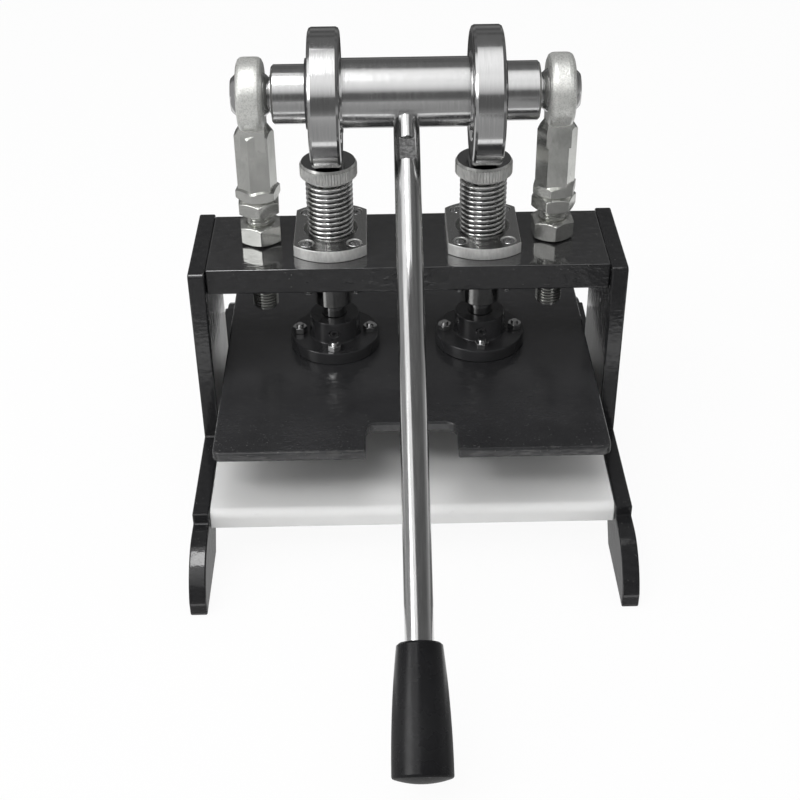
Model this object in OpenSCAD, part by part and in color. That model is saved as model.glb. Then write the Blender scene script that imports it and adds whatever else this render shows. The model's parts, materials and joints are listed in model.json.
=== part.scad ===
// Manual die cutting machine: a bench press worked by a lever, an eccentric shaft and two rollers.
// X runs to the right, Y to the back, Z up. The feet stand on Z = 0. Sizes are in millimetres.

/* [Frame] */
// width over both side plates
frame_width = 262; // [252:1:280]
// height of the side plates and of the top face of the beam
frame_height = 158; // [152:1:176]
// thickness of one side plate
side_thickness = 10; // [8:0.5:12]
// front to back size of the upright column of a side plate
column_depth = 80; // [78:1:92]
// height of the arms that run out in front of and behind the column
arm_height = 40; // [37:0.5:44]
// length of an arm beyond the column
arm_reach = 78; // [72:1:88]
// length of the rounded toe beyond the arm
toe_reach = 44; // [40:1:48]
// length of the flat sole of a foot
sole_length = 56; // [48:1:62]
// thickness of the beam across the top
beam_thickness = 16; // [14:0.5:20]
// how far the beam stays behind the edges of the side plates
beam_recess = 5; // [3:0.5:6]
// how far the frame sits forward of the line of the guide posts
frame_forward = 4; // [2:0.5:6]
// thickness of the steel bed under the cutting board
bed_thickness = 10; // [8:0.5:10]
// thickness of the white cutting board
board_thickness = 12; // [10:0.5:13]

/* [Press] */
// open height between the cutting board and the press plate at rest
press_opening = 36.5; // [34:0.5:38]
// thickness of the press plate
press_thickness = 6.5; // [6:0.5:8]
// air between the press plate and each side plate
press_side_gap = 5; // [4:0.5:8]
// width of the notch in the front edge of the press plate
notch_width = 54; // [46:1:60]
// depth of the notch
notch_depth = 27; // [20:1:30]
// distance between the two guide posts
post_spacing = 93; // [90:0.5:96]
// diameter of a guide post
post_diameter = 15; // [13:0.5:16]
// outer diameter of the bush around a guide post
bush_diameter = 24; // [22:0.5:26]
// diameter of the flange of a hub
hub_diameter = 57; // [56:0.5:60]
// height of a hub above the press plate
hub_height = 22; // [20:0.5:24]
// outer diameter of a return spring
spring_diameter = 28.5; // [27:0.25:29]
// diameter of the spring wire
spring_wire = 2.5; // [2.2:0.1:2.6]
// number of turns of a spring
spring_turns = 11.5; // [9:0.5:11.5]
// diameter of a knurled spring cap
cap_diameter = 34.5; // [34:0.5:36]
// height of a knurled spring cap
cap_height = 10.5; // [10:0.5:11]

/* [Drive] */
// height of the shaft axis above the beam
shaft_rise = 94; // [93:0.5:97]
// offset of the roller seats from the shaft axis
eccentricity = 3; // [2:0.25:3]
// distance from the inside of a side plate to the middle of a rod end
rod_inset = 31.5; // [29:0.5:33]
// outer diameter of a roller bearing
roller_diameter = 80; // [79:0.5:82]
// width of a roller bearing
roller_width = 18; // [17:0.5:19]
// diameter of the thick middle of the shaft
shaft_diameter = 40; // [39.5:0.25:41]
// angle of the lever below the horizontal at rest
lever_angle = 36; // [30:1:37]
// diameter of the lever rod
lever_diameter = 15; // [14:0.5:17]
// distance from the shaft axis to the end of the grip
lever_length = 386.5; // [360:0.5:390]
// length of the grip
grip_length = 68.5; // [64:0.5:80]
// diameter of the wide end of the grip
grip_diameter = 31; // [28:0.5:32]

/* [Hidden] */
$fn = 64;

// frame
half_w = frame_width / 2;
inner_w = half_w - side_thickness;
yc = -frame_forward;
col_half = column_depth / 2;
arm_half = col_half + arm_reach;
toe_tip = arm_half + toe_reach;
toe_top = arm_height - 7;
toe_r = toe_top + 4;
toe_cy = toe_tip - toe_r + 2.5;
arch_height = 14;
arch_slope = 12;
top_corner = 3;
bed_recess = 22;
beam_half = col_half - beam_recess;
beam_bottom = frame_height - beam_thickness;
board_top = arm_height - 0.5;
board_bottom = board_top - board_thickness;
bed_bottom = board_bottom - bed_thickness;

// press
plate_bottom = board_top + press_opening;
plate_top = plate_bottom + press_thickness;
press_half = inner_w - press_side_gap;
post_x = post_spacing / 2;
hub_flange = 8;
hub_flange_top = plate_top + hub_flange;
hub_top = plate_top + hub_height;
boss_diameter = 32;
hub_bolt_r = 22.5;
grub_height = 15;
bush_bottom = hub_top + 9;
flange_t = 7.5;
flange_top = frame_height + flange_t;
flange_r = 32;
flange_half = 22;
seat_depth = 4.5;
seat_z = flange_top - seat_depth;
seat_d = spring_diameter + 4.5;
screw_x = 14.5;
screw_y = 20.5;
screw_d = 5;
screw_hole = screw_d + 0.1;
head_d = 8.2;
head_height = 4.6;
sink_d = head_d + 1;
sink_depth = head_height + 0.4;
bush_screw_length = 30;
bush_thread = 16;

// drive
shaft_z = frame_height + shaft_rise;
ecc_y = -eccentricity * cos(lever_angle);
ecc_z = shaft_z - eccentricity * sin(lever_angle);
roller_x = post_x;
roller_in = roller_x - roller_width / 2;
roller_out = roller_x + roller_width / 2;
stub_diameter = shaft_diameter - 2 * eccentricity;
rod_x = inner_w - rod_inset;
ball_half = 11.3;
ball_r = 14.6;
pin_diameter = 16;
stub_end = rod_x - ball_half - 1;
roller_r = roller_diameter / 2;
pitch_r = roller_r * 0.75;
race_ball_r = 6;
cap_gap = 0.3;
cap_top = ecc_z - roller_r - cap_gap;
cap_bottom = cap_top - cap_height;
cap_socket = 6;
seal_r = pitch_r + 6.5;
seal_t = 1.2;
seal_depth = 1.6;
snap_t = 2.2;
jam_height = 10;
nut_height = 13;
nut_width = 24;
stud_gap = 6;
rod_length = shaft_rise - nut_height - stud_gap - jam_height;
rod_bottom = shaft_z - rod_length;
eye_r = 21.5;
eye_half = 7.5;
shank_r = 12;
collar_height = 8;
neck_drop = 18;
shank_height = rod_length - collar_height + 1 - neck_drop;
stud_depth = 30;
stud_diameter = 16;
stud_reach = 31;
stud_bottom = beam_bottom - stud_reach;
shoulder_diameter = 22;
lever_seat = 7;
flat_start = 33;
flat_length = 14;
flat_depth = 1.4;
grip_start = lever_length - grip_length;
grip_socket = 38;
grip_neck = 11.8;
grip_fillet = 1.5;
grip_dome = 46;
grip_r = grip_diameter / 2;
rim_r = grip_r - grip_fillet;
rim_s = lever_length - grip_dome + sqrt(pow(grip_dome - grip_fillet, 2) - rim_r * rim_r);

// the origin lies under the middle of the whole machine, lever included
y_front = -(rim_s * cos(lever_angle) + rim_r * sin(lever_angle) + grip_fillet);
y_back = yc + toe_tip;
y_shift = -(y_front + y_back) / 2;

// colours
paint = [0.13, 0.13, 0.14];
steel = [0.72, 0.73, 0.74];
zinc = [0.70, 0.72, 0.68];
chrome = [0.80, 0.81, 0.82];
dark = [0.10, 0.10, 0.11];
plastic_white = [0.93, 0.93, 0.92];

// helpers
module at_origin() {
    translate([0, y_shift, 0]) children();
}

module yz_plate(t) {
    rotate([90, 0, 90]) linear_extrude(t) children();
}

module along_x() {
    rotate([0, 90, 0]) children();
}

module round_rect(w, d, r) {
    translate([-w / 2 + r, -d / 2]) square([w - 2 * r, d]);
    translate([-w / 2, -d / 2 + r]) square([w, d - 2 * r]);
    for (x = [-1, 1], y = [-1, 1])
        translate([x * (w / 2 - r), y * (d / 2 - r)]) circle(r);
}

module ring(r_in, r_out, h) {
    difference() {
        cylinder(r = r_out, h = h);
        translate([0, 0, -1]) cylinder(r = r_in, h = h + 2);
    }
}

// chamfered hexagon standing on z = 0
module hex_body(af, h, turn, c = 1.8) {
    rc = af / sqrt(3);
    intersection() {
        rotate([0, 0, turn]) cylinder(r = rc, h = h, $fn = 6);
        rotate_extrude() polygon([
            [0, 0], [rc - 2 * c, 0], [rc + 0.2, c + 0.1],
            [rc + 0.2, h - c - 0.1], [rc - 2 * c, h], [0, h]
        ]);
    }
}

// screw thread drawn as pointed ridges between z0 and z1
module thread_profile(r, pitch, z0, z1) {
    n = floor((z1 - z0) / pitch);
    d = pitch * 0.45;
    pts = [for (i = [0 : n - 1]) each [
        [r - d, z0 + i * pitch],
        [r, z0 + (i + 0.4) * pitch],
        [r, z0 + (i + 0.6) * pitch]
    ]];
    polygon(concat([[0, z0]], pts, [[r - d, z0 + n * pitch], [r - d, z1], [0, z1]]));
}

// frame pieces
module side_profile() {
    difference() {
        union() {
            translate([-col_half + top_corner, 0]) square([column_depth - 2 * top_corner, frame_height]);
            translate([-col_half, 0]) square([column_depth, frame_height - top_corner]);
            for (s = [-1, 1]) {
                translate([s * (col_half - top_corner), frame_height - top_corner]) circle(top_corner);
                intersection() {
                    translate([s * toe_cy, -4]) circle(toe_r);
                    translate([-toe_tip, 0]) square([2 * toe_tip, toe_r]);
                }
            }
            translate([-arm_half, 0]) square([2 * arm_half, arm_height]);
            translate([-toe_cy, 0]) square([2 * toe_cy, toe_top]);
        }
        polygon([
            [-toe_tip + sole_length, -1],
            [-toe_tip + sole_length, 0],
            [-toe_tip + sole_length + arch_slope, arch_height],
            [toe_tip - sole_length - arch_slope, arch_height],
            [toe_tip - sole_length, 0],
            [toe_tip - sole_length, -1]
        ]);
    }
}

module side_plate(side) {
    color(paint)
        translate([side > 0 ? inner_w : -half_w, yc, 0]) yz_plate(side_thickness) side_profile();
}

module top_beam() {
    color(paint) difference() {
        translate([-inner_w, yc - beam_half, beam_bottom])
            cube([2 * inner_w, 2 * beam_half, beam_thickness]);
        for (s = [-1, 1]) {
            translate([s * post_x, 0, beam_bottom - 1])
                cylinder(d = bush_diameter + 0.2, h = beam_thickness + 2);
            translate([s * rod_x, 0, beam_bottom - 1])
                cylinder(d = stud_diameter + 0.2, h = beam_thickness + 2);
            for (x = [-1, 1], y = [-1, 1])
                translate([s * post_x + x * screw_x, y * screw_y, beam_bottom - 1])
                    cylinder(d = screw_hole, h = beam_thickness + 2);
        }
    }
}

module bed_plate() {
    color(paint)
        translate([-inner_w, yc - arm_half + bed_recess, bed_bottom])
            cube([2 * inner_w, 2 * (arm_half - bed_recess), bed_thickness]);
}

module cutting_board() {
    r = 5;
    d = arm_half - 2;
    color(plastic_white)
        translate([-inner_w + 0.2, yc, 0]) yz_plate(2 * inner_w - 0.4) {
            translate([-d, board_bottom]) square([2 * d, board_thickness - r]);
            translate([-d + r, board_bottom]) square([2 * d - 2 * r, board_thickness]);
            for (s = [-1, 1]) translate([s * (d - r), board_top - r]) circle(r);
        }
}

// flanged bush: round flange with two flats, spring seat and a long guide bore
module guide_bush(side) {
    color(steel) translate([side * post_x, 0, 0]) difference() {
        union() {
            translate([0, 0, frame_height]) linear_extrude(flange_t) intersection() {
                circle(flange_r);
                square([2 * flange_half, 2 * flange_r + 2], center = true);
            }
            translate([0, 0, bush_bottom]) rotate_extrude()
                polygon([
                    [0, 0],
                    [bush_diameter / 2 - 1, 0],
                    [bush_diameter / 2, 1],
                    [bush_diameter / 2, frame_height - bush_bottom],
                    [0, frame_height - bush_bottom]
                ]);
        }
        translate([0, 0, bush_bottom - 1])
            cylinder(d = post_diameter + 0.1, h = flange_top - bush_bottom + 2);
        translate([0, 0, seat_z]) cylinder(d = seat_d, h = seat_depth + 1);
        for (x = [-1, 1], y = [-1, 1]) translate([x * screw_x, y * screw_y, 0]) {
            translate([0, 0, frame_height - 1]) cylinder(d = screw_hole, h = flange_t + 2);
            translate([0, 0, flange_top - sink_depth]) cylinder(d = sink_d, h = sink_depth + 1);
        }
    }
}

// socket head cap screw, under side of the head on z = 0
module cap_screw(length) {
    r = screw_d / 2;
    rh = head_d / 2;
    difference() {
        union() {
            rotate_extrude() polygon([
                [0, 0], [rh, 0], [rh, head_height - 0.5], [rh - 0.5, head_height], [0, head_height]
            ]);
            translate([0, 0, -length]) rotate_extrude() union() {
                thread_profile(r, 1.6, 0, bush_thread);
                translate([0, bush_thread - 0.1]) square([r, length - bush_thread + 0.11]);
            }
        }
        translate([0, 0, head_height / 2]) cylinder(r = 2.31, h = head_height, $fn = 6);
    }
}

module bush_screws(side) {
    color(steel)
        for (x = [-1, 1], y = [-1, 1])
            translate([side * post_x + x * screw_x, y * screw_y, flange_top - sink_depth])
                cap_screw(bush_screw_length);
}

// rod end: eye with a ball seat, flat neck, six sided shank and a wrench collar
module rod_end(side) {
    turn = side > 0 ? 0 : 14;
    neck_half = 10.4;
    color(zinc) translate([side * rod_x, 0, shaft_z]) difference() {
        union() {
            along_x() rotate_extrude() difference() {
                polygon([
                    [pin_diameter / 2, -eye_half],
                    [eye_r - 3.2, -eye_half],
                    [eye_r - 1.2, -eye_half + 0.9],
                    [eye_r - 0.3, -eye_half + 2.3],
                    [eye_r, -eye_half + 4],
                    [eye_r, eye_half - 4],
                    [eye_r - 0.3, eye_half - 2.3],
                    [eye_r - 1.2, eye_half - 0.9],
                    [eye_r - 3.2, eye_half],
                    [pin_diameter / 2, eye_half]
                ]);
                circle(ball_r + 0.05);
            }
            translate([-eye_half + 0.3, -neck_half, -rod_length + stud_depth + 3])
                cube([2 * eye_half - 0.6, 2 * neck_half, rod_length - stud_depth - 3 - ball_r - 1.5]);
            translate([0, 0, -rod_length + collar_height - 1]) intersection() {
                rotate([0, 0, turn]) cylinder(r = shank_r, h = shank_height + 1, $fn = 6);
                rotate_extrude() polygon([
                    [0, 0], [shank_r + 0.4, 0], [shank_r + 0.4, shank_height - 6.5],
                    [shank_r - 4, shank_height], [0, shank_height]
                ]);
            }
            translate([0, 0, -rod_length]) hex_body(nut_width, collar_height, side > 0 ? 16 : 17);
        }
        translate([0, 0, -rod_length - 1]) cylinder(d = stud_diameter, h = stud_depth + 1);
    }
}

module stud(side) {
    r = stud_diameter / 2;
    top = rod_bottom + stud_depth - 2;
    gap0 = frame_height + nut_height;
    gap1 = rod_bottom - jam_height;
    color(steel) translate([side * rod_x, 0, 0]) rotate_extrude() {
        translate([0, stud_bottom]) square([r - 1.4, 1.2]);
        thread_profile(r, 2, stud_bottom + 1, beam_bottom - 1);
        translate([0, beam_bottom - 1.5]) square([r - 0.9, gap0 - beam_bottom + 2]);
        translate([0, beam_bottom]) square([r, nut_height + beam_thickness - 1]);
        thread_profile(r, 2, gap0 - 1, gap1 + 1);
        translate([0, gap1]) square([r, top - gap1]);
    }
}

module drilled_nut(side, z, h, turn) {
    color(zinc) translate([side * rod_x, 0, z]) difference() {
        hex_body(nut_width, h, turn);
        translate([0, 0, -1]) cylinder(d = stud_diameter, h = h + 2);
        translate([0, 0, h - 1]) cylinder(d1 = stud_diameter, d2 = stud_diameter + 2.4, h = 1.01);
    }
}

module jam_nut(side) {
    drilled_nut(side, rod_bottom - jam_height, jam_height, side > 0 ? 6 : 33);
}

module stud_nut(side) {
    drilled_nut(side, frame_height, nut_height, side > 0 ? 34 : 35);
}

// shaft and what turns with it
module shaft_length(x0, x1, d, y, z, c0 = 0, c1 = 0) {
    translate([x0, y, z]) along_x() rotate_extrude()
        polygon([
            [0, 0],
            [d / 2 - c0, 0],
            [d / 2, c0],
            [d / 2, x1 - x0 - c1],
            [d / 2 - c1, x1 - x0],
            [0, x1 - x0]
        ]);
}

module lever_space() {
    translate([0, 0, shaft_z]) rotate([90 + lever_angle, 0, 0]) children();
}

module eccentric_shaft() {
    color(chrome) difference() {
        union() {
            shaft_length(-roller_in, roller_in, shaft_diameter, 0, shaft_z, 0.8, 0.8);
            for (s = [-1, 1]) mirror([s < 0 ? 1 : 0, 0, 0]) {
                shaft_length(roller_in - 1, roller_out, shaft_diameter, ecc_y, ecc_z, 0, 0);
                shaft_length(roller_out - 1, stub_end, stub_diameter, 0, shaft_z, 0, 1.2);
                shaft_length(stub_end - 1, rod_x - ball_half, shoulder_diameter, 0, shaft_z, 0, 0);
                shaft_length(stub_end - 1, rod_x + ball_half - 0.5, pin_diameter, 0, shaft_z, 0, 0.8);
            }
        }
        for (s = [-1, 1]) mirror([s < 0 ? 1 : 0, 0, 0])
            translate([roller_out, 0, shaft_z]) along_x()
                ring(stub_diameter / 2 - 1, stub_diameter / 2 + 1, snap_t + 0.1);
        lever_space() translate([0, 0, lever_seat]) cylinder(d = lever_diameter, h = shaft_diameter);
    }
}

// puts a bearing drawn on z = 0 on its seat on the shaft
module roller_place(side) {
    translate([side * roller_x - roller_width / 2, ecc_y, ecc_z]) along_x() children();
}

module rod_ball(side) {
    color(chrome) translate([side * rod_x, 0, shaft_z]) along_x() rotate_extrude() intersection() {
        circle(ball_r);
        translate([pin_diameter / 2, -ball_half]) square([ball_r, 2 * ball_half]);
    }
}

module inner_ring(side) {
    r0 = shaft_diameter / 2;
    r1 = pitch_r - 4;
    h = roller_width;
    color(steel) roller_place(side) rotate_extrude() difference() {
        polygon([[r0, 0], [r1 - 0.6, 0], [r1, 0.6], [r1, h - 0.6], [r1 - 0.6, h], [r0, h]]);
        translate([pitch_r, h / 2]) circle(race_ball_r + 0.06);
    }
}

module snap_ring(side) {
    r0 = stub_diameter / 2 - 1;
    r1 = r0 + 4.2;
    t = snap_t;
    x = side > 0 ? roller_out + 0.05 : -roller_out - 0.05 - t;
    color(dark) translate([x, 0, shaft_z]) along_x() difference() {
        ring(r0, r1, t);
        rotate([0, 0, side > 0 ? 180 : 60]) translate([0, -3.5, -1]) cube([r1 + 2, 7, t + 2]);
    }
}

module lever_rod() {
    r = lever_diameter / 2;
    length = grip_start + grip_socket - lever_seat;
    color(chrome) lever_space() difference() {
        translate([0, 0, lever_seat]) rotate_extrude()
            polygon([[0, 0], [r - 1, 0], [r, 1], [r, length], [0, length]]);
        for (s = [-1, 1]) translate([0, s * (r - flat_depth + r), flat_start + flat_length / 2])
            cube([2 * r + 2, 2 * r, flat_length], center = true);
    }
}

// grip that swells along one arc to a narrow rim and a shallow dome
module lever_grip() {
    length = rim_s - grip_start;
    swell = grip_r - grip_neck;
    arc_r = (length * length + swell * swell) / (2 * swell);
    dome_x = rim_r * grip_dome / (grip_dome - grip_fillet);
    color(dark) lever_space() difference() {
        rotate_extrude() {
            intersection() {
                translate([grip_r - arc_r, rim_s]) circle(arc_r, $fn = 2000);
                translate([0, grip_start]) polygon([
                    [0, 0], [grip_neck - 1.2, 0], [grip_neck + 0.2, 1.2],
                    [grip_r + 1, 1.2], [grip_r + 1, length], [0, length]
                ]);
            }
            translate([0, rim_s - 1]) square([rim_r, 2]);
            intersection() {
                translate([rim_r, rim_s]) circle(grip_fillet);
                translate([rim_r, rim_s - 0.01]) square(grip_fillet + 1);
            }
            intersection() {
                translate([0, lever_length - grip_dome]) circle(grip_dome, $fn = 360);
                translate([0, rim_s]) square([dome_x, grip_dome]);
            }
        }
        translate([0, 0, grip_start - 1]) cylinder(d = lever_diameter, h = grip_socket + 1.2);
    }
}

// rollers
module outer_ring(side) {
    r1 = roller_r;
    r0 = pitch_r + 4;
    h = roller_width;
    color(steel) roller_place(side) rotate_extrude() difference() {
        polygon([
            [r0, 0], [r1 - 2.2, 0], [r1 - 0.7, 0.6], [r1, 2],
            [r1, h - 2], [r1 - 0.7, h - 0.6], [r1 - 2.2, h], [r0, h]
        ]);
        translate([pitch_r, h / 2]) circle(race_ball_r + 0.06);
        for (z = [-1, h - seal_depth]) translate([r0 - 1, z]) square([seal_r - r0 + 1, seal_depth + 1]);
    }
}

module seals(side) {
    r0 = pitch_r - 3.7;
    h = roller_width;
    color(dark) roller_place(side)
        for (z = [seal_depth - seal_t, h - seal_depth]) translate([0, 0, z]) ring(r0, seal_r, seal_t);
}

module bearing_balls(side) {
    color(chrome) translate([side * roller_x, ecc_y, ecc_z]) {
        for (i = [0 : 8])
            rotate([i * 40, 0, 0]) translate([0, 0, pitch_r]) sphere(r = race_ball_r);
        along_x() translate([0, 0, -1]) ring(pitch_r - 1, pitch_r + 1, 2);
    }
}

// press plate and what rides on it
module press_outline() {
    d0 = yc - arm_half + 3;
    d1 = yc + arm_half - 3;
    difference() {
        translate([0, (d0 + d1) / 2]) round_rect(2 * press_half, d1 - d0, 5);
        translate([-notch_width / 2, d0 - 1]) square([notch_width, notch_depth - 6]);
        translate([-notch_width / 2 + 7, d0]) square([notch_width - 14, notch_depth]);
        for (s = [-1, 1]) translate([s * (notch_width / 2 - 7), d0 + notch_depth - 7]) circle(7);
    }
}

module press_plate() {
    color(paint) difference() {
        translate([0, 0, plate_bottom]) linear_extrude(press_thickness) press_outline();
        for (s = [-1, 1], a = [0 : 90 : 270])
            translate([s * post_x + hub_bolt_r * cos(a), hub_bolt_r * sin(a), plate_bottom - 1]) {
                cylinder(d = screw_hole, h = press_thickness + 2);
                translate([0, 0, 0.99]) cylinder(d1 = 2 * screw_hole, d2 = screw_hole, h = screw_hole / 2);
            }
    }
}

module hub(side) {
    rb = boss_diameter / 2;
    rf = hub_diameter / 2;
    color(dark) translate([side * post_x, 0, plate_top]) difference() {
        rotate_extrude()
            polygon([
                [0, 0], [rf, 0], [rf, hub_flange - 0.8], [rf - 0.8, hub_flange],
                [rb + 1, hub_flange], [rb, hub_flange + 1],
                [rb, hub_height - 0.8], [rb - 0.8, hub_height], [0, hub_height]
            ]);
        translate([0, 0, -1]) cylinder(d = post_diameter, h = hub_height + 2);
        for (a = [0 : 90 : 270])
            translate([hub_bolt_r * cos(a), hub_bolt_r * sin(a), -1])
                cylinder(d = screw_hole, h = hub_flange + 2);
        translate([0, -post_diameter / 2 + 1, grub_height]) rotate([90, 0, 0])
            cylinder(d = screw_d, h = boss_diameter / 2);
    }
}

module hub_screws(side) {
    color(steel) translate([side * post_x, 0, plate_bottom])
        for (a = [0 : 90 : 270])
            translate([hub_bolt_r * cos(a), hub_bolt_r * sin(a), 0]) difference() {
                rotate_extrude() polygon([
                    [0, 0.05], [5, 0.05], [2.5, 2.55],
                    [2.5, press_thickness + hub_flange + 5], [2, press_thickness + hub_flange + 5.6],
                    [0, press_thickness + hub_flange + 5.6]
                ]);
                translate([0, 0, -1]) cylinder(r = 1.73, h = 2.8, $fn = 6);
            }
}

module hub_nuts(side) {
    color(steel) translate([side * post_x, 0, hub_flange_top])
        for (a = [0 : 90 : 270])
            translate([hub_bolt_r * cos(a), hub_bolt_r * sin(a), 0]) difference() {
                hex_body(8, 4, a + (side > 0 ? 18 : 0), 0.4);
                translate([0, 0, -1]) cylinder(d = 5, h = 6);
            }
}

module grub_screw(side) {
    y = -boss_diameter / 2 + 0.4;
    color(steel) translate([side * post_x, y, plate_top + grub_height]) rotate([-90, 0, 0]) difference() {
        cylinder(d = screw_d, h = -y - post_diameter / 2);
        translate([0, 0, -1]) cylinder(r = 1.45, h = 3, $fn = 6);
    }
}

module guide_post(side) {
    r = post_diameter / 2;
    h = cap_bottom + cap_socket - plate_top;
    color(chrome) translate([side * post_x, 0, plate_top]) rotate_extrude()
        polygon([[0, 0], [r - 0.6, 0], [r, 0.6], [r, h - 0.6], [r - 0.6, h], [0, h]]);
}

// spring cap with a straight knurl
module spring_cap(side) {
    teeth = 60;
    r = cap_diameter / 2;
    outline = [for (i = [0 : 2 * teeth - 1])
        let (a = i * 180 / teeth, q = i % 2 == 0 ? r : r - 0.55) [q * cos(a), q * sin(a)]];
    color(steel) translate([side * post_x, 0, cap_bottom]) difference() {
        union() {
            rotate_extrude() polygon([
                [0, 0], [r - 2.6, 0], [r - 0.5, 2], [r - 0.5, cap_height - 1.4],
                [r - 1.1, cap_height], [0, cap_height]
            ]);
            translate([0, 0, 2]) linear_extrude(cap_height - 3.6) polygon(outline);
        }
        translate([0, 0, -1]) cylinder(d = post_diameter, h = cap_socket + 1);
    }
}

// return spring: one tube wound as a helix with closer end turns
spring_mean = (spring_diameter - spring_wire) / 2;
spring_z0 = seat_z + spring_wire / 2 + 0.02;
spring_z1 = cap_bottom - spring_wire / 2 - 0.02;
spring_end_pitch = spring_wire + 0.5;
spring_steps = 14;
spring_sides = 8;
spring_n = round(spring_turns * spring_steps);
spring_pitch = (spring_z1 - spring_z0 - 2 * spring_end_pitch) / (spring_turns - 2);

function spring_height(t) =
    t < 1 ? spring_z0 + t * spring_end_pitch
    : t > spring_turns - 1 ? spring_z1 - (spring_turns - t) * spring_end_pitch
    : spring_z0 + spring_end_pitch + (t - 1) * spring_pitch;

function spring_point(i) =
    let (t = i / spring_steps)
    [spring_mean * cos(360 * t), spring_mean * sin(360 * t), spring_height(t)];

// least air between neighbouring turns, measured on the points of the helix
spring_gaps = [for (i = [0 : spring_n - spring_steps - 3], j = [-3 : 3])
    norm(spring_point(i) - spring_point(i + spring_steps + j)) - spring_wire];
echo(least_spring_gap = min(spring_gaps));

module spring(side) {
    w = spring_wire / 2;
    pts = [for (i = [0 : spring_n]) let (t = i / spring_steps, a = 360 * t)
        for (j = [0 : spring_sides - 1]) let (b = 360 * j / spring_sides)
            let (r = spring_mean + w * cos(b))
                [r * cos(a), r * sin(a), spring_height(t) + w * sin(b)]];
    sides = [for (i = [0 : spring_n - 1], j = [0 : spring_sides - 1])
        let (k = (j + 1) % spring_sides)
            [for (v = [[i, j], [i, k], [i + 1, k], [i + 1, j]]) v[0] * spring_sides + v[1]]];
    first = [[for (j = [spring_sides - 1 : -1 : 0]) j]];
    last = [[for (j = [0 : spring_sides - 1]) spring_n * spring_sides + j]];
    color(steel) translate([side * post_x, 0, 0])
        polyhedron(points = pts, faces = concat(sides, first, last));
}

at_origin() {
    side_plate(-1);  // left_side_plate
    side_plate(1);  // right_side_plate
    top_beam();
    bed_plate();
    cutting_board();
    guide_bush(-1);  // left_guide_bush
    guide_bush(1);  // right_guide_bush
    bush_screws(-1);  // left_bush_screws
    bush_screws(1);  // right_bush_screws
    rod_end(-1);  // left_rod_end
    rod_end(1);  // right_rod_end
    stud(-1);  // left_stud
    stud(1);  // right_stud
    jam_nut(-1);  // left_jam_nut
    jam_nut(1);  // right_jam_nut
    stud_nut(-1);  // left_stud_nut
    stud_nut(1);  // right_stud_nut
    eccentric_shaft();
    rod_ball(-1);  // left_rod_ball
    rod_ball(1);  // right_rod_ball
    inner_ring(-1);  // left_inner_ring
    inner_ring(1);  // right_inner_ring
    snap_ring(-1);  // left_snap_ring
    snap_ring(1);  // right_snap_ring
    lever_rod();
    lever_grip();
    outer_ring(-1);  // left_outer_ring
    outer_ring(1);  // right_outer_ring
    seals(-1);  // left_seals
    seals(1);  // right_seals
    bearing_balls(-1);  // left_bearing_balls
    bearing_balls(1);  // right_bearing_balls
    press_plate();
    hub(-1);  // left_hub
    hub(1);  // right_hub
    hub_screws(-1);  // left_hub_screws
    hub_screws(1);  // right_hub_screws
    hub_nuts(-1);  // left_hub_nuts
    hub_nuts(1);  // right_hub_nuts
    grub_screw(-1);  // left_grub_screw
    grub_screw(1);  // right_grub_screw
    guide_post(-1);  // left_guide_post
    guide_post(1);  // right_guide_post
    spring_cap(-1);  // left_spring_cap
    spring_cap(1);  // right_spring_cap
    spring(-1);  // left_spring
    spring(1);  // right_spring
}
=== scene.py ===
"""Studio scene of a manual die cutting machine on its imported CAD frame.

Lengths are in metres unless a comment says otherwise.
"""
import json
import math

import bmesh
import bpy
from mathutils import Matrix, Vector


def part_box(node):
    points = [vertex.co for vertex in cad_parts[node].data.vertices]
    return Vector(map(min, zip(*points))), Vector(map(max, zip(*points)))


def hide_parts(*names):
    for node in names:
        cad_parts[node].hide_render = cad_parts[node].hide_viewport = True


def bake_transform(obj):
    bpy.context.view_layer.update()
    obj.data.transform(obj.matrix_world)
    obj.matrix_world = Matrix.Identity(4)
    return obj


MM = 0.001

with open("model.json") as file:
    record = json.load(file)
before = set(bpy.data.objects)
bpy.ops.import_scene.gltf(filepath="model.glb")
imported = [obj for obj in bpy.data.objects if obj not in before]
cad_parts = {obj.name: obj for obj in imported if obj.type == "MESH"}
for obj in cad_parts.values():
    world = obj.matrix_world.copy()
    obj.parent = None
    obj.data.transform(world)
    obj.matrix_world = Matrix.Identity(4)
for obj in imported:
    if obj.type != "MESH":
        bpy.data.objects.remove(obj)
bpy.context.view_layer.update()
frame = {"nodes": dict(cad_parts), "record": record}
NODES = frame["nodes"]
RECORD = frame["record"]
SIDES = ("left", "right")


def middle_of(node):
    low, high = (Vector(corner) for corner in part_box(node))
    return (low + high) / 2


# places on the machine that the camera and the materials are tied to
POST_Y = middle_of("left_guide_post").y
SHAFT_Y, SHAFT_Z = middle_of("left_rod_ball").yz
BEAM_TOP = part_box("top_beam")[1][2]
PLATE_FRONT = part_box("press_plate")[0][1]


# ---- camera as in the photograph: angles in degrees, focal length in image pixels

CAMERA_PLACE = (-0.01469, POST_Y - 0.75918, 0.56694)
CAMERA_YAW = 0.712
CAMERA_PITCH = 35.029
CAMERA_ROLL = -0.648
CAMERA_FOCUS = 1387.4
CAMERA_REACH = 50.0
IMAGE_SIZE = 800
SENSOR = 36.0  # mm


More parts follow.
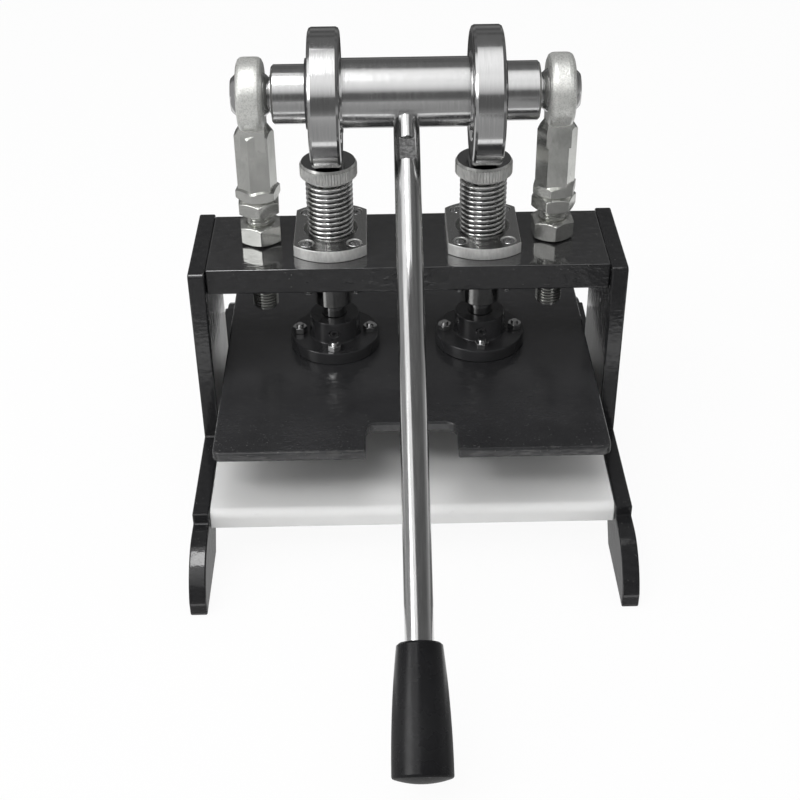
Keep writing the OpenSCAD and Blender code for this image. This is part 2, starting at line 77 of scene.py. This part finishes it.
def make_camera():
    yaw, pitch, roll = (math.radians(a) for a in (CAMERA_YAW, CAMERA_PITCH, CAMERA_ROLL))
    level = math.cos(pitch)
    forward = Vector((math.sin(yaw) * level, math.cos(yaw) * level, -math.sin(pitch)))
    flat_right = Vector((math.cos(yaw), -math.sin(yaw), 0.0))
    flat_up = flat_right.cross(forward)
    right = math.cos(roll) * flat_right + math.sin(roll) * flat_up
    up = -math.sin(roll) * flat_right + math.cos(roll) * flat_up
    data = bpy.data.cameras.new("camera")
    data.sensor_width = SENSOR
    data.lens = SENSOR * CAMERA_FOCUS / IMAGE_SIZE
    data.clip_end = CAMERA_REACH
    camera = bpy.data.objects.new("camera", data)
    bpy.context.scene.collection.objects.link(camera)
    turn = Matrix((right, up, -forward)).transposed()
    camera.matrix_world = Matrix.Translation(CAMERA_PLACE) @ turn.to_4x4()
    bpy.context.scene.camera = camera


# ---- materials

def rgba(colour):
    """A colour from three shares, or a grey from one number."""
    shares = colour if isinstance(colour, tuple) else (colour, colour, colour)
    return (*shares, 1.0)


def math_node(tree, operation, a, b):
    """One Math node on two sockets, or on a socket and a number."""
    node = tree.nodes.new("ShaderNodeMath")
    node.operation = operation
    for socket, value in zip(node.inputs, (a, b)):
        if isinstance(value, float):
            socket.default_value = value
        else:
            tree.links.new(value, socket)
    return node.outputs[0]


def white_glow(tree):
    glow = tree.nodes.new("ShaderNodeEmission")
    glow.inputs["Color"].default_value = rgba(1.0)
    return glow


class Shader:
    """A node material around one Principled shader, with short helpers for textures."""

    def __init__(self, name, **sockets):
        self.material = bpy.data.materials.new(name)
        self.material.use_nodes = True
        self.tree = self.material.node_tree
        self.principled = self.tree.nodes["Principled BSDF"]
        for key, value in sockets.items():
            self.principled.inputs[key.replace("_", " ")].default_value = value
        self.coords = self.tree.nodes.new("ShaderNodeTexCoord")

    def link(self, a, b):
        self.tree.links.new(a, b)

    def axis_of(self, vector, axis):
        split = self.tree.nodes.new("ShaderNodeSeparateXYZ")
        self.link(vector, split.inputs[0])
        return split.outputs[axis]

    def fade(self, value, start, end, first=0.0, last=1.0):
        """A value that goes from first at start to last at end."""
        node = self.tree.nodes.new("ShaderNodeMapRange")
        node.inputs["From Min"].default_value = start
        node.inputs["From Max"].default_value = end
        node.inputs["To Min"].default_value = first
        node.inputs["To Max"].default_value = last
        self.link(value, node.inputs["Value"])
        return node.outputs[0]

    def along(self, axis, start, end):
        """A value that falls from 1 at start to 0 at end on one axis of the piece."""
        place = self.axis_of(self.coords.outputs["Object"], axis)
        return self.fade(place, start, end, 1.0, 0.0)

    def upright(self, low=0.5, high=0.9):
        """A value that rises from 0 to 1 where the normal's upward share goes from low to high."""
        shape = self.tree.nodes.new("ShaderNodeNewGeometry")
        return self.fade(self.axis_of(shape.outputs["Normal"], "Z"), low, high)

    def product(self, a, b):
        return math_node(self.tree, "MULTIPLY", a, b)

    def noise(self, scale, detail=3.0, stretch=(1.0, 1.0, 1.0)):
        mapping = self.tree.nodes.new("ShaderNodeMapping")
        mapping.inputs["Scale"].default_value = stretch
        self.link(self.coords.outputs["Object"], mapping.inputs["Vector"])
        node = self.tree.nodes.new("ShaderNodeTexNoise")
        node.inputs["Scale"].default_value = scale
        node.inputs["Detail"].default_value = detail
        self.link(mapping.outputs["Vector"], node.inputs["Vector"])
        return node.outputs["Fac"]

    def ramp(self, value, stops):
        node = self.tree.nodes.new("ShaderNodeValToRGB")
        elements = node.color_ramp.elements
        while len(elements) < len(stops):
            elements.new(0.5)
        for element, (place, colour) in zip(elements, stops):
            element.position = place
            element.color = rgba(colour)
        self.link(value, node.inputs["Fac"])
        return node.outputs["Color"]

    def mix(self, factor, a, b):
        """a where the factor is 0 and b where it is 1; each a socket, a colour or a grey."""
        node = self.tree.nodes.new("ShaderNodeMix")
        node.data_type = "RGBA"
        self.link(factor, node.inputs[0])
        for socket, value in ((node.inputs[6], a), (node.inputs[7], b)):
            if isinstance(value, (tuple, float)):
                socket.default_value = rgba(value)
            else:
                self.link(value, socket)
        return node.outputs[2]

    def to(self, socket, value):
        self.link(value, self.principled.inputs[socket])

    def bump(self, height, strength, distance):
        """Bump on top of any bump that the shader has already."""
        node = self.tree.nodes.new("ShaderNodeBump")
        node.inputs["Strength"].default_value = strength
        node.inputs["Distance"].default_value = distance
        self.link(height, node.inputs["Height"])
        previous = self.principled.inputs["Normal"].links
        if previous:
            self.link(previous[0].from_socket, node.inputs["Normal"])
        self.link(node.outputs["Normal"], self.principled.inputs["Normal"])


# dust and chips on the press plate, measured from its front edge
DUST_REACH = 0.044
CHIPS_FULL = 0.0005
CHIPS_END = 0.0025
SIDE_COAT = 0.12


def black_paint(name, roughness, peel, dusty=False, top_coat=0.3, coat_ior=1.5):
    """Glossy black paint with orange peel, ripples and a few grains of dust."""
    s = Shader(name, Specular_IOR_Level=0.6, Coat_Roughness=0.04, Coat_IOR=coat_ior)
    s.to("Coat Weight", s.mix(s.upright(), SIDE_COAT, top_coat))
    ripple = s.noise(300.0, 2.0, (0.65, 1.0, 1.0))
    tone = s.ramp(ripple, [(0.35, (0.009, 0.009, 0.010)), (0.7, (0.021, 0.021, 0.022))])
    tone = s.mix(s.noise(14.0, 4.0), tone, (0.014, 0.014, 0.015))
    grains = s.ramp(s.noise(900.0, 1.0), [(0.76, 0.0), (0.79, 1.0)])
    tone = s.mix(grains, tone, (0.14, 0.14, 0.13))
    if dusty:
        tone = s.mix(s.noise(30.0, 3.0), tone, (0.043, 0.043, 0.045))
        dust = s.ramp(s.noise(760.0, 1.0), [(0.70, 0.0), (0.76, 0.6)])
        near_edge = s.along("Y", PLATE_FRONT, PLATE_FRONT + DUST_REACH)
        tone = s.mix(s.product(dust, near_edge), tone, (0.16, 0.16, 0.155))
        chips = s.ramp(s.noise(240.0, 3.0, (0.5, 1.0, 2.0)), [(0.54, 0.0), (0.66, 0.7)])
        front_face = s.along("Y", PLATE_FRONT + CHIPS_FULL, PLATE_FRONT + CHIPS_END)
        tone = s.mix(s.product(chips, front_face), tone, (0.06, 0.06, 0.058))
    s.to("Base Color", tone)
    finish = [(0.3, roughness), (0.75, roughness + 0.10)]
    s.to("Roughness", s.ramp(s.noise(40.0, 5.0), finish))
    s.bump(ripple, peel, 0.001)
    s.bump(s.noise(420.0, 2.0), 0.10, 0.0004)
    return s.material


def metal(name, dark, light, roughness, stretch=(1.0, 1.0, 1.0), grain=260.0, bump=0.06):
    """Bare steel with fine lines across the stretched axis."""
    s = Shader(name, Metallic=1.0)
    lines = s.noise(grain, 3.0, stretch)
    tone = s.ramp(lines, [(0.3, dark), (0.7, light)])
    s.to("Base Color", s.mix(s.noise(55.0, 4.0), tone, light))
    finish = [(0.3, roughness), (0.75, roughness + 0.12)]
    s.to("Roughness", s.ramp(s.noise(grain * 0.7, 4.0, stretch), finish))
    s.bump(lines, bump, 0.0003)
    return s.material


# ground flat on the lever, in front of the shaft axis
FLAT_NEAR = 0.0305
FLAT_FAR = 0.0420
FLAT_FADE = 0.0003


def lever_chrome():
    """Bright rod with a dull ground flat just below the shaft."""
    s = Shader("lever_chrome", Metallic=1.0)
    stretch = (6.0, 0.5, 0.5)
    lines = s.noise(150.0, 3.0, stretch)
    bright = s.ramp(lines, [(0.3, 0.56), (0.7, 0.66)])
    near, far = SHAFT_Y - FLAT_NEAR, SHAFT_Y - FLAT_FAR
    past_near = s.along("Y", near - FLAT_FADE, near + FLAT_FADE)
    before_far = s.along("Y", far + FLAT_FADE, far - FLAT_FADE)
    flat = s.product(s.product(past_near, before_far), s.upright(0.78, 0.80))
    ground = s.ramp(s.noise(500.0, 2.0), [(0.35, 0.07), (0.65, 0.16)])
    s.to("Base Color", s.mix(flat, bright, ground))
    s.to("Roughness", s.ramp(s.noise(105.0, 4.0, stretch), [(0.3, 0.12), (0.75, 0.24)]))
    s.bump(lines, 0.02, 0.0003)
    return s.material


# a finish is a pair of roughness and metallic
POLISH = (0.09, 1.0)
POLISH_FADE = 0.001


def turned_steel(name, lit_side_colour, shaded_top_colour, side_finish, top_finish, polish_below=None):
    """Sides keep a dull cut, faces that look up are ground, and below a height all is polished."""
    s = Shader(name)
    marks = s.noise(260.0, 3.0, (3.0, 0.6, 1.0))
    top = s.upright()
    # painted light and shade: the cut sides get a lighter colour and the upward faces a darker one,
    # standing in for light from above the front on the sides and dark reflections on the tops; the
    # roughness and metallic below are the real cut and ground finishes
    colour = s.mix(top, lit_side_colour, shaded_top_colour)
    s.to("Base Color", s.mix(marks, colour, tuple(0.8 * share for share in shaded_top_colour)))
    finishes = zip(("Roughness", "Metallic"), side_finish, top_finish, POLISH)
    for socket, side_value, top_value, polish in finishes:
        value = s.mix(top, side_value, top_value)
        if polish_below is not None:
            below = s.along("Z", polish_below - POLISH_FADE, polish_below)
            value = s.mix(below, value, polish)
        s.to(socket, value)
    s.bump(marks, 0.04, 0.0003)
    return s.material


# the eye of a rod end turns into its shank between these depths below the shaft axis
EYE_DEPTH = 0.012
SHANK_DEPTH = 0.022


def zinc_plate():
    """Zinc plated steel: smooth nuts and shanks, forged grain on the eyes of the rod ends."""
    s = Shader("zinc_plate")
    eye = s.along("Z", SHAFT_Z - EYE_DEPTH, SHAFT_Z - SHANK_DEPTH)
    clouds = s.noise(70.0, 5.0)
    cut = s.ramp(clouds, [(0.3, (0.68, 0.69, 0.66)), (0.7, (0.84, 0.84, 0.81))])
    forged = s.ramp(clouds, [(0.3, (0.84, 0.85, 0.82)), (0.7, (0.97, 0.97, 0.94))])
    spots = s.ramp(s.noise(420.0, 2.0), [(0.66, 0.0), (0.76, 1.0)])
    tone = s.mix(spots, s.mix(eye, cut, forged), (0.60, 0.61, 0.57))
    grain = s.noise(1100.0, 2.0)
    pits = s.product(s.ramp(grain, [(0.36, 0.5), (0.56, 0.0)]), eye)
    s.to("Base Color", s.mix(pits, tone, (0.52, 0.53, 0.50)))
    finish = s.ramp(s.noise(120.0, 4.0), [(0.3, 0.13), (0.75, 0.25)])
    s.to("Roughness", s.mix(eye, finish, 0.34))
    s.to("Metallic", s.mix(eye, 0.93, 0.72))
    s.bump(s.noise(300.0, 3.0), 0.10, 0.0004)
    s.bump(s.product(grain, eye), 0.34, 0.0006)
    return s.material


def spring_wire():
    """Bright wire with painted shade on its under side, between the coils."""
    s = Shader("spring_steel", Metallic=1.0)
    bright = s.ramp(s.noise(90.0, 3.0), [(0.3, (0.86, 0.86, 0.85)), (0.7, (0.96, 0.96, 0.95))])
    # painted shade: faces that look down get a dark 0.20 colour, standing in for the shade and dark
    # reflections between the coils
    s.to("Base Color", s.mix(s.upright(-0.25, 0.35), 0.20, bright))
    s.to("Roughness", s.ramp(s.noise(120.0, 4.0), [(0.3, 0.10), (0.75, 0.20)]))
    s.bump(s.noise(300.0, 2.0), 0.02, 0.0003)
    return s.material


def white_board():
    s = Shader("board_plastic", Roughness=0.55)
    tone = s.ramp(s.noise(9.0, 4.0), [(0.3, (0.74, 0.74, 0.735)), (0.7, (0.82, 0.82, 0.815))])
    scuffs = s.ramp(s.noise(60.0, 5.0, (1.0, 6.0, 1.0)), [(0.66, 0.0), (0.76, 0.35)])
    s.to("Base Color", s.mix(scuffs, tone, (0.60, 0.60, 0.59)))
    s.bump(s.noise(500.0, 3.0), 0.08, 0.0004)
    return s.material


def black_plastic():
    s = Shader("grip_plastic", Specular_IOR_Level=0.3)
    stops = [(0.3, (0.007, 0.007, 0.008)), (0.7, (0.013, 0.013, 0.014))]
    s.to("Base Color", s.ramp(s.noise(30.0, 4.0), stops))
    s.to("Roughness", s.ramp(s.noise(90.0, 5.0), [(0.3, 0.22), (0.8, 0.36)]))
    s.bump(s.noise(140.0, 2.0), 0.05, 0.0005)
    return s.material


def rubber_seal():
    s = Shader("seal_rubber")
    stops = [(0.3, (0.014, 0.014, 0.014)), (0.7, (0.028, 0.028, 0.027))]
    s.to("Base Color", s.ramp(s.noise(80.0, 4.0), stops))
    s.to("Roughness", s.ramp(s.noise(200.0, 4.0), [(0.3, 0.45), (0.8, 0.65)]))
    s.bump(s.noise(600.0, 2.0), 0.1, 0.0003)
    return s.material


def satin_black(name, roughness):
    s = Shader(name)
    stops = [(0.3, (0.024, 0.024, 0.025)), (0.7, (0.038, 0.038, 0.040))]
    s.to("Base Color", s.ramp(s.noise(50.0, 4.0), stops))
    finish = [(0.3, roughness), (0.8, roughness + 0.15)]
    s.to("Roughness", s.ramp(s.noise(150.0, 4.0), finish))
    s.bump(s.noise(420.0, 3.0), 0.12, 0.0004)
    return s.material


LOOKS = {
    "frame_paint": black_paint("frame_paint", 0.08, 0.42, top_coat=1.0, coat_ior=2.1),
    "press_paint": black_paint("press_paint", 0.14, 0.4, dusty=True),
    "board_white": white_board(),
    "bush_steel": turned_steel(
        "bush_steel", (0.88, 0.88, 0.86), (0.70, 0.70, 0.69), (0.40, 0.55), (0.20, 1.0),
        polish_below=BEAM_TOP),
    "screw_steel": metal("screw_steel", 0.66, 0.82, 0.16),
    "zinc_plate": zinc_plate(),
    "shaft_chrome": metal("shaft_chrome", 0.56, 0.66, 0.13, (7.0, 0.3, 0.3), 200.0, 0.02),
    "bearing_chrome": metal("bearing_chrome", 0.58, 0.68, 0.08, (9.0, 0.3, 0.3), 220.0, 0.03),
    "seal_black": rubber_seal(),
    "oxide_black": satin_black("oxide_black", 0.30),
    "lever_chrome": lever_chrome(),
    "grip_black": black_plastic(),
    "hub_black": satin_black("hub_black", 0.08),
    "post_chrome": metal("post_chrome", 0.55, 0.66, 0.07, (0.4, 0.4, 8.0), 200.0, 0.02),
    "cap_steel": turned_steel(
        "cap_steel", (0.90, 0.90, 0.87), (0.48, 0.48, 0.48), (0.28, 0.70), (0.12, 1.0)),
    "spring_steel": spring_wire(),
}
# the side plates are seen at a flat angle, where strong ripples would look like grain
SIDE_PAINT = black_paint("side_paint", 0.10, 0.2)


def dress_frame():
    slot_of = {entry["node"]: entry["material_slot"] for entry in RECORD["subparts"]}
    for name, obj in NODES.items():
        obj.data.materials.clear()
        obj.data.materials.append(LOOKS[slot_of[name]])
    for side in SIDES:
        NODES[side + "_side_plate"].data.materials[0] = SIDE_PAINT


# ---- softened edges, widths in millimetres

EDGE_WIDTH = {"top_beam": 1.0, "press_plate": 1.2, "cutting_board": 0.5, "bed_plate": 0.6}
PAIRED_EDGE_WIDTH = {
    "side_plate": 1.0, "guide_bush": 0.6, "jam_nut": 0.35, "stud_nut": 0.35,
    "hub": 0.9, "hub_nuts": 0.2,
}
for paired, paired_width in PAIRED_EDGE_WIDTH.items():
    EDGE_WIDTH.update({side + "_" + paired: paired_width for side in SIDES})
WELD_GAP = 0.001 * MM
FLAT_ANGLE = math.radians(0.5)
EDGE_ANGLE = math.radians(50)
EDGE_SEGMENTS = 3
SPLIT_CORNERS = 5  # faces with this many corners or more are split into triangles


def soften_edges():
    """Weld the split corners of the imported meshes, clear flat edges, then bevel the sharp ones."""
    for name, width in EDGE_WIDTH.items():
        modifiers = NODES[name].modifiers
        modifiers.new("weld", "WELD").merge_threshold = WELD_GAP
        flat = modifiers.new("flat", "DECIMATE")
        flat.decimate_type = "DISSOLVE"
        flat.angle_limit = FLAT_ANGLE
        bevel = modifiers.new("edge", "BEVEL")
        bevel.width = width * MM
        bevel.segments = EDGE_SEGMENTS
        bevel.limit_method = "ANGLE"
        bevel.angle_limit = EDGE_ANGLE
        bevel.use_clamp_overlap = False
        modifiers.new("triangles", "TRIANGULATE").min_vertices = SPLIT_CORNERS
        modifiers.new("normals", "WEIGHTED_NORMAL").keep_sharp = True


# ---- return springs as fine wire helices

SPRING_DIAMETER = 28.5 * MM
SPRING_WIRE = 2.5 * MM
SPRING_TURNS = 11.5
SPRING_END_PITCH = 3.0 * MM
SPRING_STEPS = 48
SPRING_SIDES = 16


def spring_height(turn, first, last):
    """Height of the wire after some turns: one closed turn at each end, even pitch between."""
    if turn < 1:
        return first + turn * SPRING_END_PITCH
    if turn > SPRING_TURNS - 1:
        return last - (SPRING_TURNS - turn) * SPRING_END_PITCH
    pitch = (last - first - 2 * SPRING_END_PITCH) / (SPRING_TURNS - 2)
    return first + SPRING_END_PITCH + (turn - 1) * pitch


def spring_mesh(name, centre, low, high):
    mean = (SPRING_DIAMETER - SPRING_WIRE) / 2
    radius = SPRING_WIRE / 2
    form = bmesh.new()
    rings = []
    for i in range(round(SPRING_TURNS * SPRING_STEPS) + 1):
        turn = i / SPRING_STEPS
        z = spring_height(turn, low + radius, high - radius)
        angle = 2 * math.pi * turn
        ring = []
        for j in range(SPRING_SIDES):
            around = 2 * math.pi * j / SPRING_SIDES
            out = mean + radius * math.cos(around)
            x = centre.x + out * math.cos(angle)
            y = centre.y + out * math.sin(angle)
            ring.append(form.verts.new((x, y, z + radius * math.sin(around))))
        rings.append(ring)
    for a, b in zip(rings, rings[1:]):
        for j in range(SPRING_SIDES):
            k = (j + 1) % SPRING_SIDES
            form.faces.new((a[j], b[j], b[k], a[k])).smooth = True
    form.faces.new(rings[0])
    form.faces.new(reversed(rings[-1]))
    bmesh.ops.recalc_face_normals(form, faces=form.faces)
    mesh = bpy.data.meshes.new(name)
    form.to_mesh(mesh)
    form.free()
    return mesh


def make_springs():
    for side in SIDES:
        node = side + "_spring"
        low, high = (Vector(corner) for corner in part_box(node))
        middle = middle_of(side + "_spring_cap")
        mesh = spring_mesh(side + "_spring_wire", middle, low.z, high.z)
        obj = bpy.data.objects.new(mesh.name, mesh)
        bpy.context.scene.collection.objects.link(obj)
        mesh.materials.append(LOOKS["spring_steel"])
        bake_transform(obj)
        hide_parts(node)


# ---- studio

FLOOR_SIZE = 6.0
FLOOR_DROP = 0.0005
FLOOR_GLOW = 0.94  # share of white that the camera sees over the lit floor
WORLD_FILL = 0.55
WORLD_SEEN = 1.0
LAMP_TARGET = Vector((0.0, 0.06, 0.15))
UP = (0.0, 0.0, 1.0)
TO_BACK = (0.0, 1.0, 0.0)
TO_FRONT = (0.0, -1.0, 0.0)
TO_RIGHT = (1.0, 0.0, 0.0)
TO_LEFT = (-1.0, 0.0, 0.0)
FRONT_SKY_TILT = (0.0, 0.338, -0.94)


def plane(name, width, height, matrix, material):
    mesh = bpy.data.meshes.new(name)
    x, y = width / 2, height / 2
    mesh.from_pydata([(-x, -y, 0), (x, -y, 0), (x, y, 0), (-x, y, 0)], [], [(0, 1, 2, 3)])
    mesh.materials.append(material)
    obj = bpy.data.objects.new(name, mesh)
    bpy.context.scene.collection.objects.link(obj)
    obj.matrix_world = matrix
    return obj


def make_floor():
    """The camera sees mostly white, so the ground stays white and keeps its shadow."""
    floor = Shader("floor", Roughness=0.9)
    floor.to("Base Color", floor.ramp(floor.noise(3.0, 3.0), [(0.3, 0.80), (0.7, 0.82)]))
    path = floor.tree.nodes.new("ShaderNodeLightPath")
    share = math_node(floor.tree, "MULTIPLY", path.outputs["Is Camera Ray"], FLOOR_GLOW)
    mix = floor.tree.nodes.new("ShaderNodeMixShader")
    floor.link(share, mix.inputs[0])
    floor.link(floor.principled.outputs[0], mix.inputs[1])
    floor.link(white_glow(floor.tree).outputs[0], mix.inputs[2])
    floor.link(mix.outputs[0], floor.tree.nodes["Material Output"].inputs["Surface"])
    place = Matrix.Translation((0, 0, -FLOOR_DROP))
    plane("floor", FLOOR_SIZE, FLOOR_SIZE, place, floor.material)


def reflector(name, width, height, place, facing, *levels):
    """A studio card that only shows in reflections.

    More levels shade an upright card from its low to its high edge, and a level one from back to
    front.
    """
    s = Shader(name)
    s.tree.nodes.remove(s.principled)
    top = max(levels)
    steps = max(len(levels) - 1, 1)
    stops = [(i / steps, level / top) for i, level in enumerate(levels)]
    shade = s.ramp(s.along("Y", height / 2, -height / 2), stops if len(stops) > 1 else stops * 2)
    glow = white_glow(s.tree)
    s.link(s.product(shade, top), glow.inputs["Strength"])
    s.link(glow.outputs[0], s.tree.nodes["Material Output"].inputs["Surface"])
    turn = Vector(facing).to_track_quat("Z", "Y").to_matrix().to_4x4()
    card = plane(name, width, height, Matrix.Translation(place) @ turn, s.material)
    card.visible_camera = False
    card.visible_diffuse = False
    card.visible_shadow = False
    card.visible_transmission = False


def area_light(name, place, width, height, power, mirrored=True):
    data = bpy.data.lights.new(name, "AREA")
    data.shape = "RECTANGLE"
    data.size = width
    data.size_y = height
    data.energy = power
    obj = bpy.data.objects.new(name, data)
    bpy.context.scene.collection.objects.link(obj)
    turn = (LAMP_TARGET - Vector(place)).to_track_quat("-Z", "Y").to_matrix().to_4x4()
    obj.matrix_world = Matrix.Translation(place) @ turn
    obj.visible_glossy = mirrored


def make_world():
    """White for the camera and in reflections, dimmer as a fill light."""
    world = bpy.data.worlds.new("studio")
    bpy.context.scene.world = world
    world.use_nodes = True
    tree = world.node_tree
    rays = tree.nodes.new("ShaderNodeLightPath").outputs
    bent = math_node(tree, "MAXIMUM", rays["Is Glossy Ray"], rays["Is Transmission Ray"])
    seen = math_node(tree, "MAXIMUM", rays["Is Camera Ray"], bent)
    level = tree.nodes.new("ShaderNodeMapRange")
    level.inputs["To Min"].default_value = WORLD_FILL
    level.inputs["To Max"].default_value = WORLD_SEEN
    tree.links.new(seen, level.inputs["Value"])
    background = tree.nodes["Background"]
    background.inputs["Color"].default_value = rgba(1.0)
    tree.links.new(level.outputs[0], background.inputs["Strength"])


def make_lamps():
    area_light("top_softbox", (-0.10, -0.05, 1.65), 1.0, 0.8, 6.8)
    area_light("left_softbox", (-1.4, -0.7, 1.0), 0.7, 0.9, 5.0)
    area_light("front_strip", (-0.60, -0.85, 1.40), 1.0, 0.20, 9.0, mirrored=False)


def make_cards():
    """Cards over the machine, around it and on the floor, with levels as shares of white."""
    reflector("shade_card", 1.6, 2.2, (1.2, -0.2, 1.62), UP, 0.15)
    reflector("sky_card", 2.3, 1.3, (-0.75, -0.2, 1.6), UP, 0.6, 1.1, 1.22, 1.22, 1.15, 1.05)
    reflector("key_card", 0.26, 0.7, (-0.30, -0.25, 1.5), UP, 8.0)
    reflector("front_sky_card", 5.0, 1.33, (0.0, -1.475, 1.375), FRONT_SKY_TILT,
              0.2, 0.6, 0.85, 1.05, 1.15)
    reflector("front_card", 5.0, 1.15, (0.0, -2.1, 0.575), TO_BACK, 0.25, 0.13, 0.12, 0.15)
    reflector("back_card", 5.0, 1.9, (0.0, 1.6, 0.95), TO_FRONT,
              0.05, 0.08, 0.22, 0.08, 0.16, 0.09, 0.15)
    reflector("back_sky_card", 5.0, 1.19, (0.0, 1.025, 1.75), UP, 0.15)
    reflector("left_card", 4.0, 1.35, (-1.9, -0.3, 0.675), TO_RIGHT, 0.35)
    reflector("right_card", 4.0, 1.6, (1.6, -0.3, 0.8), TO_LEFT, 0.40, 0.20, 0.10, 0.10)
    reflector("lever_flag", 0.56, 0.60, (0.22, -0.335, 0.30), UP, 0.12)
    reflector("back_floor_card", 5.0, 1.9, (0.0, 1.15, 0.002), UP, 0.12, 0.12, 0.12, 0.12, 0.9)
    reflector("near_floor_card", 0.6, 0.05, (0.0, -0.112, 0.006), UP, 1.1)
    reflector("floor_shade_card", 1.3, 1.9, (0.80, -0.95, 0.004), UP, 0.14)
    reflector("floor_card", 5.0, 2.3, (0.0, -0.95, 0.002), UP, 0.35, 0.35, 0.42, 0.50, 0.60)


make_camera()
dress_frame()
soften_edges()
make_springs()
make_world()
make_floor()
make_lamps()
make_cards()
bpy.context.scene.view_settings.view_transform = "Standard"
